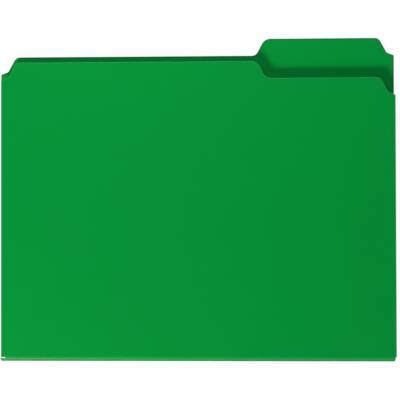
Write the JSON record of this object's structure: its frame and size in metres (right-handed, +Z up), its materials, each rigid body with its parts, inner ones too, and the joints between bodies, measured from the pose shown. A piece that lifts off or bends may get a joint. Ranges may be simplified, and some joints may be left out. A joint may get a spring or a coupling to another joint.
{
  "type": "plastic file folder",
  "caption": "Creased plastic sheet folded at the bottom into a back leaf with an index tab and an undercut front leaf, which opens to take loose paper.",
  "frame": {"origin": "middle of the area that the closed folder covers, on the surface that its back leaf lies on", "axes": "+X along the fold towards the tab's side, +Y from the fold towards the tab, +Z up from the back leaf to the front leaf"},
  "size_m": [0.296, 0.2414, 0.0059],
  "materials": {
    "sheet": "satin green polypropylene sheet with a fine grain",
    "crease": "green polypropylene, thinned and a little deeper in tone where it is creased"
  },
  "bodies": {
    "back": {"back_panel": "sheet", "back_crease": "crease"},
    "back_strip": {"back_gusset": "sheet", "bottom_crease": "crease"},
    "front_strip": {"front_gusset": "sheet", "front_crease": "crease"},
    "front": {"front_panel": "sheet"}
  },
  "joints": [
    {"name": "back_crease_hinge", "type": "hinge", "parent": "back", "child": "back_strip", "pos_m": [0, -0.11771, 0.00025], "axis": [1, 0, 0], "range_deg": [0, 45]},
    {"name": "bottom_crease_hinge", "type": "hinge", "parent": "back_strip", "child": "front_strip", "pos_m": [0, -0.1204, 0.00294], "axis": [1, 0, 0], "range_deg": [0, 90]},
    {"name": "front_crease_hinge", "type": "hinge", "parent": "front_strip", "child": "front", "pos_m": [0, -0.11771, 0.00562], "axis": [1, 0, 0], "range_deg": [0, 45]}
  ]
}
